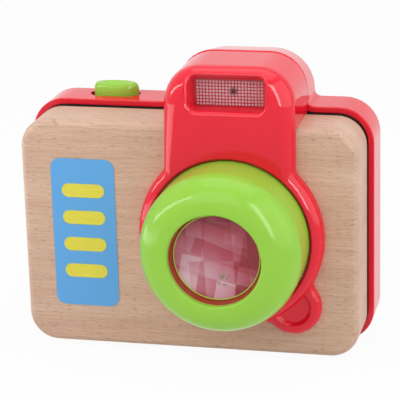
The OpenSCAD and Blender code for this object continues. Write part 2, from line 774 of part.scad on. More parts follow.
module lens_retainer() {
    color("Firebrick") placed() facing(hump_x, lens_z) rotate_extrude() polygon([
        [retainer_in, retainer_f - retainer_t],
        [lens_r - pilot_clear, retainer_f - retainer_t],
        [lens_r - pilot_clear, retainer_f],
        [retainer_in, retainer_f]
    ]);
}

module ring_keeper() {
    color("Gainsboro") placed() facing(hump_x, lens_z) difference() {
        translate([0, 0, -barrel_end - keeper_t]) cylinder(r = keeper_r, h = keeper_t);
        translate([0, 0, -barrel_end - keeper_t - 1]) cylinder(r = keeper_hole, h = keeper_t + 2);
        for (i = [0 : 2]) rotate([0, 0, i * 120])
            translate([keeper_screw_at, 0, -barrel_end - keeper_t - 1])
                cylinder(r = keeper_screw_r + 0.15, h = keeper_t + 2, $fn = 32);
    }
}

module keeper_screws() {
    color("Silver") placed() for (i = [0 : 2])
        screw(
            hump_x + keeper_screw_at * cos(i * 120), lens_z + keeper_screw_at * sin(i * 120),
            barrel_end + keeper_t, keeper_screw_r, keeper_screw_len, keeper_head_r, keeper_head_h
        );
}

// Clear window: upright ridges in front and level ridges behind make its square grid
module flash_window() {
    across = floor((flash_w2 - 0.8) / grid_pitch);
    high = floor((flash_h2 - 0.4) / grid_pitch);
    grid_w = across * grid_pitch;
    grid_h = high * grid_pitch;
    low = flash_z2 - grid_h / 2;
    color("White", 0.6) placed() {
        translate([hump_x - window_w / 2 + seat_gap, flash_deep, flash_z2 - window_h / 2 + seat_gap])
            cube([window_w - 2 * seat_gap, window_t, window_h - 2 * seat_gap]);
        translate([hump_x - grid_w / 2, flash_deep, low]) mirror([0, 1, 0]) linear_extrude(grid_h)
            polygon(ridges(across));
        translate([hump_x + grid_w / 2, housing_y, low]) rotate([0, -90, 0]) linear_extrude(grid_w)
            polygon(ridges(high));
    }
}

module shutter_button() {
    r = button_d / 2;
    top = shell_high + button_up - button_base;
    dish_r = r - button_edge * 0.75;
    rim = [for (i = [0 : 6]) let (a = i * 15)
        [r - button_edge * (1 - cos(a)), top - button_edge * (1 - sin(a))]];
    dish = [for (i = [1 : 6]) let (s = 1 - i / 6)
        [dish_r * s, top - button_dish * (1 - s * s)]];
    body = concat([[0, 0], [r, 0]], rim, dish);
    plate_r = r + flange_more;
    plate = [[0, 0], [plate_r, 0], [plate_r, button_flange_t], [0, button_flange_t]];
    color("YellowGreen") placed() translate([button_x, button_y, button_base]) {
        oval_solid(button_w, button_d, body);
        oval_solid(button_w + 2 * flange_end_more, button_d + 2 * flange_more, plate);
        translate([0, 0, -stem_len]) cylinder(r = stem_r, h = stem_len + 1, $fn = 48);
    }
}

module button_spring() {
    per_curl = 8;
    sides = 6;
    steps = round(curls * per_curl);
    rise = spring_len - 2 * wire_r - 0.04;
    pitch = rise / curls;
    lean = atan2(pitch, 2 * PI * coil_r);
    points = [for (k = [0 : steps], i = [0 : sides - 1])
        let (
            a = k * 360 / per_curl,
            b = i * 360 / sides,
            out = coil_r + wire_r * cos(b),
            up = wire_r * sin(b),
            along = -up * sin(lean)
        )
        [
            out * cos(a) - along * sin(a),
            out * sin(a) + along * cos(a),
            wire_r + 0.02 + rise * k / steps + up * cos(lean)
        ]];
    skins = [for (k = [0 : steps - 1], i = [0 : sides - 1])
        let (j = (i + 1) % sides, a = k * sides, b = a + sides)
        each [[a + i, b + j, a + j], [a + i, b + i, b + j]]];
    ends = [[for (i = [0 : sides - 1]) i], [for (i = [sides - 1 : -1 : 0]) steps * sides + i]];
    echo(coil_gap_at_rest = pitch * cos(lean) - 2 * wire_r);
    color("Silver") placed() translate([button_x, button_y, spring_foot])
        polyhedron(points = points, faces = concat(ends, skins), convexity = 20);
}

module panel_print() {
    left = panel_in - wood_w / 2;
    low = (wood_h - panel_h) / 2 + 0.4;
    outline = round_rect(left, left + panel_w, low, low + panel_h, panel_corner, 8);
    color("SteelBlue") placed() facing() linear_extrude(panel_t) polygon(flat_points(outline, 0));
}

module panel_bars() {
    mid_x = panel_in - wood_w / 2 + panel_w / 2;
    mid_z = wood_h / 2 + 1.2;
    color("Gold") placed() for (i = [-1.5 : 1 : 1.5]) {
        z = mid_z + i * bar_pitch;
        outline = round_rect(
            mid_x - bar_w / 2, mid_x + bar_w / 2, z - bar_h / 2, z + bar_h / 2, bar_h / 2 - 0.01, 8
        );
        facing(0, 0, -panel_t) linear_extrude(bar_t) polygon(flat_points(outline, 0));
    }
}

module view_tube() {
    color("Crimson") placed() difference() {
        bar_y(hump_x, lens_z, tube_out_r, tube_front, floor_y - seat_gap);
        bar_y(hump_x, lens_z, tube_in_r, tube_front - 1, floor_y + 1);
    }
}

module eyepiece_window() {
    color("White", 0.5) placed() bar_y(hump_x, lens_z, eye_disc_r, floor_y - eye_t, floor_y);
}

module eyepiece_retainer() {
    near = floor_y - eye_t;
    color("Crimson") placed() difference() {
        bar_y(hump_x, lens_z, eye_disc_r, near - eye_ring_t, near);
        bar_y(hump_x, lens_z, eye_r, near - eye_ring_t - 1, near + 1);
    }
}

module bezel_screws() {
    color("Silver") placed() for (p = bezel_posts)
        screw(p[0], p[1], wood_t - head_sink, screw_r, bezel_screw_len, screw_head_r, screw_head_h);
}

module frame_screws() {
    color("Silver") placed() for (p = frame_places)
        screw(p[0], p[1], flange_back, screw_r, frame_screw_len, screw_head_r, screw_head_h);
}

module shell_screws() {
    color("Silver") placed() {
        for (p = shell_posts)
            screw(p[0], p[1], shell_seat, screw_r, shell_screw_len, screw_head_r, screw_head_h);
        screw(hump_x, hump_post_z, hump_seat, screw_r, shell_screw_len, screw_head_r, screw_head_h);
    }
}

wood_front_block();
front_bezel();
mid_frame();
rear_shell();
lens_ring();
lens_barrel();
prism_lens();
lens_retainer();
ring_keeper();
keeper_screws();
flash_window();
shutter_button();
button_spring();
panel_print();
panel_bars();
view_tube();
eyepiece_window();
eyepiece_retainer();
bezel_screws();
frame_screws();
shell_screws();
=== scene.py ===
import bpy
import bmesh
import math
from mathutils import Matrix, Vector


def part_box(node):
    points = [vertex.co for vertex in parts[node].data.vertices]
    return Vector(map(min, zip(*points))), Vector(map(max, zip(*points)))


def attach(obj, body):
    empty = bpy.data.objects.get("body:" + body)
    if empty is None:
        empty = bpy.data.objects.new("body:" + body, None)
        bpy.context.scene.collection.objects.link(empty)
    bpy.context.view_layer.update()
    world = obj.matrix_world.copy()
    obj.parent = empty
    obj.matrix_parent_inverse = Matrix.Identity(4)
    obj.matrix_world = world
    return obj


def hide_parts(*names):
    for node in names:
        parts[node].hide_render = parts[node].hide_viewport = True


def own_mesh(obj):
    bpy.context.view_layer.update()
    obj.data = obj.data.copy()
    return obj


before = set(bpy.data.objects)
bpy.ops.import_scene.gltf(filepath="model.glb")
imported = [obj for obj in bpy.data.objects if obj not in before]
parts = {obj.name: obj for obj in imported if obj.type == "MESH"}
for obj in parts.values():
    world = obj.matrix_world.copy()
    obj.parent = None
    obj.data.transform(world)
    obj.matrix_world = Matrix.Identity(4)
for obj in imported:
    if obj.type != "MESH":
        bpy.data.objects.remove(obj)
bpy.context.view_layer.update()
mm = 0.001  # sizes in the dictionaries are in millimetres
lensLow, lensHigh = (Vector(corner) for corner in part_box("prism_lens"))
lensAxis = Vector(((lensLow.x + lensHigh.x) / 2, lensLow.y, (lensLow.z + lensHigh.z) / 2))  # at the lens's face
print("frame loaded:", len(parts), "nodes")

scene = bpy.context.scene
scene.view_settings.view_transform = "Standard"


def linear(hexColour):  # sRGB hex to the linear values that shaders take
    steps = [int(hexColour[i:i + 2], 16) / 255 for i in (1, 3, 5)]
    return tuple(v / 12.92 if v <= 0.04045 else ((v + 0.055) / 1.055) ** 2.4 for v in steps) + (1.0,)


def addNode(tree, kind, settings=None, inputs=None):  # one node, its settings and what feeds it
    node = tree.nodes.new(kind)
    for name, value in (settings or {}).items():
        if name == "ramp":
            stops = node.color_ramp.elements
            while len(stops) < len(value):
                stops.new(0.5)
            for stop, (place, colour) in zip(stops, value):
                stop.position = place
                stop.color = linear(colour)
        else:
            setattr(node, name, value)
    for name, value in (inputs or {}).items():
        if isinstance(value, bpy.types.NodeSocket):
            tree.links.new(value, node.inputs[name])
        else:
            node.inputs[name].default_value = value
    return node


def newMaterial(name):
    material = bpy.data.materials.new(name)
    material.use_nodes = True
    material.node_tree.nodes.clear()
    return material, material.node_tree


# Camera solved from the photo's edges, lengths in millimetres and turns in degrees
photoCamera = {"target": (1.31, 9.8, 57.81), "yaw": 13.751, "pitch": 17.566, "roll": -1.602,
               "distance": 736.8, "lens": 172.73, "sensor": 36}


def makeCamera(spec):
    yaw, pitch, roll = (math.radians(spec[k]) for k in ("yaw", "pitch", "roll"))
    back = Vector((math.sin(yaw) * math.cos(pitch), -math.cos(yaw) * math.cos(pitch), math.sin(pitch)))
    side = Vector((math.cos(yaw), math.sin(yaw), 0))
    up = back.cross(side)
    right = side * math.cos(roll) + up * math.sin(roll)
    upright = up * math.cos(roll) - side * math.sin(roll)
    data = bpy.data.cameras.new("photoCamera")
    data.lens = spec["lens"]
    data.sensor_width = spec["sensor"]
    data.clip_start, data.clip_end = 0.01, 50
    camera = bpy.data.objects.new("photoCamera", data)
    scene.collection.objects.link(camera)
    turn = Matrix((right, upright, back)).transposed().to_4x4()
    camera.matrix_world = Matrix.Translation(Vector(spec["target"]) * mm + back * spec["distance"] * mm) @ turn
    scene.camera = camera


makeCamera(photoCamera)
print("camera placed")


# Beech, planed and sanded, thin clear lacquer: pale pink-brown, long soft bands along the grain
# and many short dark flecks, dots on the end grain
beech = {"pale": "#DCBAA2", "dark": "#CFA890", "fibre": "#EAE5E1", "fleck": "#8C5638",
         "fleckRange": (0.595, 0.72), "fleckShare": 0.48, "roughness": 0.42}


def makeBeech(look):
    material, tree = newMaterial("lacqueredBeech")
    place = addNode(tree, "ShaderNodeTexCoord")
    bandPlace = addNode(tree, "ShaderNodeMapping", {}, {
        "Vector": place.outputs["Object"], "Scale": (9, 70, 120)})  # bands 110 mm long, 8 mm high
    bands = addNode(tree, "ShaderNodeTexNoise", {}, {
        "Vector": bandPlace.outputs[0], "Scale": 1.0, "Detail": 3.0, "Roughness": 0.55, "Distortion": 0.3})
    fibrePlace = addNode(tree, "ShaderNodeMapping", {}, {
        "Vector": place.outputs["Object"], "Scale": (70, 1300, 1300)})  # fibres 14 mm by 0.8 mm
    fibres = addNode(tree, "ShaderNodeTexNoise", {}, {
        "Vector": fibrePlace.outputs[0], "Scale": 1.0, "Detail": 2.0, "Roughness": 0.6})
    fleckPlace = addNode(tree, "ShaderNodeMapping", {}, {
        "Vector": place.outputs["Object"], "Scale": (340, 2500, 2500)})  # flecks up to 3 mm by 0.4 mm
    flecks = addNode(tree, "ShaderNodeTexNoise", {}, {
        "Vector": fleckPlace.outputs[0], "Scale": 1.0, "Detail": 1.0, "Roughness": 0.4})
    tone = addNode(tree, "ShaderNodeValToRGB", {"ramp": [(0.3, look["dark"]), (0.68, look["pale"])]}, {
        "Fac": bands.outputs["Fac"]})
    fine = addNode(tree, "ShaderNodeValToRGB", {"ramp": [(0.25, look["fibre"]), (0.7, "#FFFFFF")]}, {
        "Fac": fibres.outputs["Fac"]})
    grained = addNode(tree, "ShaderNodeMix", {"data_type": "RGBA", "blend_type": "MULTIPLY"}, {
        0: 1.0, 6: tone.outputs["Color"], 7: fine.outputs["Color"]})
    mask = addNode(tree, "ShaderNodeMapRange", {}, {
        "Value": flecks.outputs["Fac"], "From Min": look["fleckRange"][0], "From Max": look["fleckRange"][1],
        "To Max": look["fleckShare"]})
    flecked = addNode(tree, "ShaderNodeMix", {"data_type": "RGBA"}, {
        0: mask.outputs[0], 6: grained.outputs[2], 7: linear(look["fleck"])})
    relief = addNode(tree, "ShaderNodeBump", {}, {
        "Height": fibres.outputs["Fac"], "Strength": 0.12, "Distance": 0.1 * mm})
    gloss = addNode(tree, "ShaderNodeMapRange", {}, {
        "Value": fibres.outputs["Fac"], "To Min": look["roughness"] - 0.06, "To Max": look["roughness"] + 0.08})
    surface = addNode(tree, "ShaderNodeBsdfPrincipled", {}, {
        "Base Color": flecked.outputs[2], "Roughness": gloss.outputs[0], "IOR": 1.5,
        "Normal": relief.outputs[0]})
    addNode(tree, "ShaderNodeOutputMaterial", {}, {"Surface": surface.outputs[0]})
    return material


# ABS, injection moulded in a polished tool: even deep colour, wet gloss with a faint ripple.
# The inside of the lens group is duller and painted a lighter red, painted light for the dark barrel; the lip
# red is painted shade, the lime a painted reflection, and the black frame matt
redLook = {"colour": "#EC1430", "deep": "#E4112C", "roughness": 0.09, "gloss": 0.36, "ripple": 0.03}
# painted light: a lighter red than the outside for the dark inside of the barrel
innerLitRedLook = {"colour": "#F2404C", "deep": "#EC3844", "roughness": 0.35, "gloss": 0.3, "ripple": 0.03}
# painted shade: a dark brown red for the barrel's lip in the ring's shade
lipShadeRedLook = {"colour": "#A8422C", "deep": "#A03A26", "roughness": 0.2, "gloss": 0.3, "ripple": 0.03}
greenLook = {"colour": "#9AD048", "deep": "#92CA42", "roughness": 0.16, "gloss": 0.22, "ripple": 0.03}
# painted reflection: lime for the bead where the ring's colour gathers at the lens's edge
limeReflectionLook = {"colour": "#B7D944", "deep": "#AED03C", "roughness": 0.08, "gloss": 0.5, "ripple": 0.0}
blackLook = {"colour": "#1A1716", "deep": "#141211", "roughness": 0.55, "gloss": 0.4, "ripple": 0.2}


def makeAbs(name, look):
    material, tree = newMaterial(name)
    place = addNode(tree, "ShaderNodeTexCoord")
    flow = addNode(tree, "ShaderNodeTexNoise", {}, {
        "Vector": place.outputs["Object"], "Scale": 22.0, "Detail": 2.0})  # flow clouds about 45 mm wide
    tint = addNode(tree, "ShaderNodeValToRGB", {"ramp": [(0.3, look["deep"]), (0.7, look["colour"])]}, {
        "Fac": flow.outputs["Fac"]})
    skin = addNode(tree, "ShaderNodeTexNoise", {}, {
        "Vector": place.outputs["Object"], "Scale": 260.0, "Detail": 1.0})  # ripple about 4 mm wide
    relief = addNode(tree, "ShaderNodeBump", {}, {
        "Height": skin.outputs["Fac"], "Strength": look["ripple"], "Distance": 0.05 * mm})
    dull = addNode(tree, "ShaderNodeMapRange", {}, {
        "Value": flow.outputs["Fac"], "To Min": look["roughness"] * 0.85, "To Max": look["roughness"] * 1.2})
    surface = addNode(tree, "ShaderNodeBsdfPrincipled", {}, {
        "Base Color": tint.outputs["Color"], "Roughness": dull.outputs[0], "IOR": 1.53,
        "Specular IOR Level": look["gloss"], "Normal": relief.outputs[0]})
    addNode(tree, "ShaderNodeOutputMaterial", {}, {"Surface": surface.outputs[0]})
    return material


def passLight(tree, surface, tint):  # a clear piece's shadow only tints the light
    clear = addNode(tree, "ShaderNodeBsdfTransparent", {}, {"Color": tint})
    path = addNode(tree, "ShaderNodeLightPath")
    both = addNode(tree, "ShaderNodeMixShader", {}, {
        0: path.outputs["Is Shadow Ray"], 1: surface.outputs[0], 2: clear.outputs[0]})
    addNode(tree, "ShaderNodeOutputMaterial", {}, {"Surface": both.outputs[0]})


# Acrylic, moulded clear: bright edges, light passes to the walls behind it
clearLook = {"tint": "#FDF4F6", "roughness": 0.02}


def makeAcrylic(name, look):
    material, tree = newMaterial(name)
    tint = linear(look["tint"])
    surface = addNode(tree, "ShaderNodeBsdfPrincipled", {}, {
        "Base Color": tint, "Roughness": look["roughness"], "IOR": 1.49, "Transmission Weight": 1.0})
    passLight(tree, surface, tint)
    return material


# Acrylic lens cut in flat squares, coloured with a painted reflection: each square paints another patch of the
# red barrel as thrown back, so it shows as a patchwork from pale pink to deep red.
# A layer has its turn in degrees, the width and height of its squares, a slide and its share.
# The spots are placed from the lens's axis
lensLook = {"layers": [(10, 7.2, 7.2, 0.3, 0.36), (-3, 5.6, 15.0, 5.4, 0.24), (20, 14.0, 6.4, 9.2, 0.2)],
            "tones": [(0.16, "#A82636"), (0.38, "#C85668"), (0.58, "#DA90A2"), (0.82, "#F0D2DC")],
            "litSpot": (-7.25, 0, -10.1), "reach": 28, "paler": (0.46, -0.32),
            "greenReflectionSpots": (2.65, 0, -8.5), "green": "#6E9A34", "greenReach": (0.5, 4.5), "greenLift": 0.3,
            "greenRange": (0.76, 0.82), "greenShare": 0.7,
            "roughness": 0.05, "transmission": 0.45, "shadow": "#F2C8D0"}


def makeLensAcrylic(look):
    material, tree = newMaterial("facetedAcrylicPaintedReflection")
    place = addNode(tree, "ShaderNodeTexCoord")
    litSpot, greenReflectionSpots = (lensAxis + Vector(look[k]) * mm for k in ("litSpot", "greenReflectionSpots"))
    total = None
    for turn, width, height, slide, share in look["layers"]:  # grids of painted reflection squares, one per cut
        grid = addNode(tree, "ShaderNodeMapping", {"vector_type": "TEXTURE"}, {
            "Vector": place.outputs["Object"], "Location": lensAxis,
            "Rotation": (0, math.radians(turn), 0), "Scale": (width * mm, 1.0, height * mm)})
        middle = addNode(tree, "ShaderNodeVectorMath", {"operation": "MULTIPLY_ADD"}, {
            0: grid.outputs[0], 1: (1, 0, 1), 2: (0.5 + slide, 0.5, 0.5 - slide)})
        square = addNode(tree, "ShaderNodeVectorMath", {"operation": "FLOOR"}, {0: middle.outputs[0]})
        tone = addNode(tree, "ShaderNodeTexWhiteNoise", {"noise_dimensions": "3D"}, {
            "Vector": square.outputs[0]})
        total = addNode(tree, "ShaderNodeMath", {"operation": "MULTIPLY_ADD"}, {
            0: tone.outputs["Value"], 1: share, 2: total.outputs[0] if total else 0.0})
    far = addNode(tree, "ShaderNodeVectorMath", {"operation": "DISTANCE"}, {
        0: place.outputs["Object"], 1: litSpot})
    slope = addNode(tree, "ShaderNodeMapRange", {}, {  # painted light: the barrel's lit side behind the lens
        "Value": far.outputs["Value"], "From Max": look["reach"] * mm, "To Min": look["paler"][0],
        "To Max": look["paler"][1]})
    sloped = addNode(tree, "ShaderNodeMath", {"operation": "ADD"}, {
        0: total.outputs[0], 1: slope.outputs[0]})
    tint = addNode(tree, "ShaderNodeValToRGB", {"ramp": look["tones"]}, {"Fac": sloped.outputs[0]})
    near = addNode(tree, "ShaderNodeVectorMath", {"operation": "DISTANCE"}, {
        0: place.outputs["Object"], 1: greenReflectionSpots})
    speckle = addNode(tree, "ShaderNodeTexNoise", {}, {
        "Vector": place.outputs["Object"], "Scale": 600.0, "Detail": 1.0})  # spots about 1.5 mm wide
    close = addNode(tree, "ShaderNodeMapRange", {}, {
        "Value": near.outputs["Value"], "From Min": look["greenReach"][0] * mm,
        "From Max": look["greenReach"][1] * mm, "To Min": look["greenLift"], "To Max": 0.0})
    raised = addNode(tree, "ShaderNodeMath", {"operation": "ADD"}, {
        0: speckle.outputs["Fac"], 1: close.outputs[0]})
    spots = addNode(tree, "ShaderNodeMapRange", {}, {  # painted reflection of the green ring in a few cuts
        "Value": raised.outputs[0], "From Min": look["greenRange"][0], "From Max": look["greenRange"][1],
        "To Max": look["greenShare"]})
    spotted = addNode(tree, "ShaderNodeMix", {"data_type": "RGBA"}, {
        0: spots.outputs[0], 6: tint.outputs["Color"], 7: linear(look["green"])})
    surface = addNode(tree, "ShaderNodeBsdfPrincipled", {}, {
        "Base Color": spotted.outputs[2], "Roughness": look["roughness"], "IOR": 1.49,
        "Transmission Weight": look["transmission"]})
    passLight(tree, surface, linear(look["shadow"]))
    return material


# Screen ink on wood: flat colour that keeps a little of the fibre relief, thinner along the fibres
blueLook = {"colour": "#5AA5E4", "thin": "#60A8E0", "roughness": 0.42}
yellowLook = {"colour": "#E3D841", "thin": "#DCCF45", "roughness": 0.42}


def makeInk(name, look):
    material, tree = newMaterial(name)
    place = addNode(tree, "ShaderNodeTexCoord")
    fibrePlace = addNode(tree, "ShaderNodeMapping", {}, {
        "Vector": place.outputs["Object"], "Scale": (90, 1100, 1100)})  # fibres 11 mm by 0.9 mm
    fibres = addNode(tree, "ShaderNodeTexNoise", {}, {
        "Vector": fibrePlace.outputs[0], "Scale": 1.0, "Detail": 3.0})
    tint = addNode(tree, "ShaderNodeValToRGB", {"ramp": [(0.25, look["thin"]), (0.6, look["colour"])]}, {
        "Fac": fibres.outputs["Fac"]})
    relief = addNode(tree, "ShaderNodeBump", {}, {
        "Height": fibres.outputs["Fac"], "Strength": 0.1, "Distance": 0.08 * mm})
    surface = addNode(tree, "ShaderNodeBsdfPrincipled", {}, {
        "Base Color": tint.outputs["Color"], "Roughness": look["roughness"], "IOR": 1.48,
        "Normal": relief.outputs[0]})
    addNode(tree, "ShaderNodeOutputMaterial", {}, {"Surface": surface.outputs[0]})
    return material


# Steel, turned and zinc plated for the screws, drawn as wire for the spring: bright grey, fine soft scratches
zincLook = {"colour": "#C6C8CC", "roughness": 0.32}
springLook = {"colour": "#AEB0B4", "roughness": 0.28}


def makeSteel(name, look):
    material, tree = newMaterial(name)
    place = addNode(tree, "ShaderNodeTexCoord")
    lines = addNode(tree, "ShaderNodeTexNoise", {}, {
        "Vector": place.outputs["Object"], "Scale": 2400.0, "Detail": 2.0})  # scratches about 0.4 mm
    dull = addNode(tree, "ShaderNodeMapRange", {}, {
        "Value": lines.outputs["Fac"], "To Min": look["roughness"] - 0.1, "To Max": look["roughness"] + 0.12})
    relief = addNode(tree, "ShaderNodeBump", {}, {
        "Height": lines.outputs["Fac"], "Strength": 0.15, "Distance": 0.05 * mm})
    surface = addNode(tree, "ShaderNodeBsdfPrincipled", {}, {
        "Base Color": linear(look["colour"]), "Metallic": 1.0, "Roughness": dull.outputs[0],
        "Normal": relief.outputs[0]})
    addNode(tree, "ShaderNodeOutputMaterial", {}, {"Surface": surface.outputs[0]})
    return material


lacqueredBeech = makeBeech(beech)
redAbs = makeAbs("polishedRedAbs", redLook)
innerLitRedAbs = makeAbs("paintedLightRedAbs", innerLitRedLook)
lipShadeRedAbs = makeAbs("shadedRedAbs", lipShadeRedLook)
greenAbs = makeAbs("polishedGreenAbs", greenLook)
limeReflectionAbs = makeAbs("paintedReflectionLime", limeReflectionLook)
blackAbs = makeAbs("mattBlackAbs", blackLook)
clearAcrylic = makeAcrylic("clearAcrylic", clearLook)
lensReflectionAcrylic = makeLensAcrylic(lensLook)
blueInk = makeInk("blueScreenInk", blueLook)
yellowInk = makeInk("yellowScreenInk", yellowLook)
zincSteel = makeSteel("zincSteel", zincLook)
springSteel = makeSteel("springSteel", springLook)
print("materials made")

# Material of each node that shows, and the angle in degrees up to which its edges are smooth
finishes = {
    "wood_front_block": (lacqueredBeech, 32), "front_bezel": (redAbs, 32), "rear_shell": (redAbs, 32),
    "mid_frame": (blackAbs, 30), "lens_ring": (greenAbs, 32), "lens_barrel": (innerLitRedAbs, 30),
    "prism_lens": (lensReflectionAcrylic, 2), "lens_retainer": (innerLitRedAbs, 30), "ring_keeper": (innerLitRedAbs, 30),
    "keeper_screws": (zincSteel, 30), "panel_print": (blueInk, 30), "panel_bars": (yellowInk, 30),
    "view_tube": (innerLitRedAbs, 30), "eyepiece_window": (clearAcrylic, 30), "eyepiece_retainer": (redAbs, 30),
    "bezel_screws": (zincSteel, 30), "frame_screws": (zincSteel, 30), "shell_screws": (zincSteel, 30)}

smoothing = {"joinWithin": 0.002, "flatWeight": 80}


def dressNode(name, material, angle):  # smooth within an angle, flat areas kept flat
    piece = parts[name]
    mesh = piece.data
    mesh.materials.clear()
    mesh.materials.append(material)
    if "custom_normal" in mesh.attributes:
        mesh.attributes.remove(mesh.attributes["custom_normal"])
    for face in mesh.polygons:
        face.use_smooth = True
    piece.modifiers.new("joinPoints", "WELD").merge_threshold = smoothing["joinWithin"] * mm
    piece.modifiers.new("sharpEdges", "EDGE_SPLIT").split_angle = math.radians(angle)
    weighted = piece.modifiers.new("flatFaces", "WEIGHTED_NORMAL")
    weighted.keep_sharp = True
    weighted.weight = smoothing["flatWeight"]


for name, (material, angle) in finishes.items():
    dressNode(name, material, angle)
print("nodes dressed")


def evenTurn(steps):  # angles of one full turn
    return [2 * math.pi * k / steps for k in range(steps)]


def skinRings(shape, rings, closed=False):  # smooth faces from each ring of points to the next
    after = rings[1:] + rings[:1] if closed else rings[1:]
    for ring, other in zip(rings, after):
        for k in range(len(ring)):
            m = (k + 1) % len(ring)
            shape.faces.new((ring[k], ring[m], other[m], other[k])).smooth = True


def newPiece(name, shape, materials):  # a finished bmesh as an object, faces turned outward
    bmesh.ops.recalc_face_normals(shape, faces=shape.faces)
    mesh = bpy.data.meshes.new(name)
    shape.to_mesh(mesh)
    shape.free()
    for material in materials:
        mesh.materials.append(material)
    piece = bpy.data.objects.new(name, mesh)
    scene.collection.objects.link(piece)
    return piece


# Flash window of moulded acrylic: rows of small pyramids that catch the light as pale dots. The lines' red is
# painted shade: the shaded red housing behind, painted into the acrylic.
# Dots and lines have their material's name, colour and transmission, and the spot is placed from the middle
flashGrid = {"columns": 21, "rows": 8, "pitch": 1.22, "groove": 0.4, "rise": 0.42, "crest": 0.35,
             "inset": 0.5, "lift": 0.01, "roughness": 0.18,
             # the lines' colour is painted shade of the red housing behind
             "dots": ("frostedAcrylic", "#F6DEE4", 0.25), "lines": ("paintedShadeAcrylic", "#CC3646", 0.3),
             "spot": (1.45, 0.8), "spotSize": 1.3, "spotColour": "#6A2A34"}


def makeFlashAcrylic(look, middle, name, colour, transmission):
    spot = (middle.x + look["spot"][0] * mm, 0, middle.z + look["spot"][1] * mm)
    size = look["spotSize"] * mm
    material, tree = newMaterial(name)
    place = addNode(tree, "ShaderNodeTexCoord")
    away = addNode(tree, "ShaderNodeVectorMath", {"operation": "MULTIPLY"}, {
        0: place.outputs["Object"], 1: (1, 0, 1)})
    far = addNode(tree, "ShaderNodeVectorMath", {"operation": "DISTANCE"}, {
        0: away.outputs[0], 1: spot})
    shade = addNode(tree, "ShaderNodeMapRange", {}, {  # soft edge of the dark spot
        "Value": far.outputs["Value"], "From Min": size * 0.5, "From Max": size * 1.5})
    tint = addNode(tree, "ShaderNodeMix", {"data_type": "RGBA"}, {
        0: shade.outputs[0], 6: linear(look["spotColour"]), 7: linear(colour)})
    surface = addNode(tree, "ShaderNodeBsdfPrincipled", {}, {
        "Base Color": tint.outputs[2], "Roughness": look["roughness"], "IOR": 1.49,
        "Transmission Weight": transmission})
    addNode(tree, "ShaderNodeOutputMaterial", {}, {"Surface": surface.outputs[0]})
    return material


def makeFlashWindow(look):
    low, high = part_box("flash_window")
    middle = (Vector(low) + Vector(high)) / 2
    face, back = low[1] + look["inset"] * mm, high[1] - look["inset"] * mm
    shape = bmesh.new()
    place = Matrix.Translation((middle.x, (face + back) / 2, middle.z))
    stretch = Matrix.Diagonal((high[0] - low[0], back - face, high[2] - low[2], 1))
    bmesh.ops.create_cube(shape, size=1.0, matrix=place @ stretch)
    for body in shape.faces:
        body.material_index = 1
    pitch, half = look["pitch"] * mm, (look["pitch"] - look["groove"]) / 2 * mm
    levels = ((half, face - look["lift"] * mm), (half * look["crest"], face - look["rise"] * mm))
    for column in range(look["columns"]):
        for row in range(look["rows"]):
            x = middle.x + (column - (look["columns"] - 1) / 2) * pitch
            z = middle.z + (row - (look["rows"] - 1) / 2) * pitch
            foot, crest = ([shape.verts.new((x + sx * reach, y, z + sz * reach))
                            for sx, sz in ((-1, -1), (1, -1), (1, 1), (-1, 1))] for reach, y in levels)
            shape.faces.new(crest)
            for i in range(4):
                j = (i + 1) % 4
                shape.faces.new((foot[i], foot[j], crest[j], crest[i]))
    acrylics = [makeFlashAcrylic(look, middle, *look[k]) for k in ("dots", "lines")]
    piece = newPiece("flashWindow", shape, acrylics)
    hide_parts("flash_window")
    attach(piece, "camera")


makeFlashWindow(flashGrid)

# Painted reflection: a bright lime bead where the ring's colour gathers at the lens's edge
lensReflectionBead = {"radius": 16.15, "thick": 0.22, "steps": 96, "sides": 10}


def makeLensReflectionBead(look):
    radius, thick = look["radius"] * mm, look["thick"] * mm
    middle = lensAxis - Vector((0, thick, 0))
    shape = bmesh.new()
    rings = []
    for a in evenTurn(look["steps"]):
        out = Vector((math.cos(a), 0, math.sin(a)))
        rings.append([shape.verts.new(middle + out * (radius + thick * math.cos(b))
                                      + Vector((0, thick * math.sin(b), 0))) for b in evenTurn(look["sides"])])
    skinRings(shape, rings, closed=True)
    piece = newPiece("lensReflectionBead", shape, [limeReflectionAbs])
    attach(piece, "lens_group")


makeLensReflectionBead(lensReflectionBead)

# Oval shutter button with a dished top, on its flange and stem. Its rim rolls in and down by two sizes,
# and flangeMore is what the flange adds along and across
shutterOval = {"halfLength": 9.0, "halfDepth": 4.6, "height": 9.55, "rim": (1.7, 3.0), "dish": 1.3,
               "flange": 1.8, "flangeMore": (2.6, 0.45), "stem": 1.65,
               "steps": 72, "rimSteps": 8, "dishSteps": 12, "sharpAngle": 40}


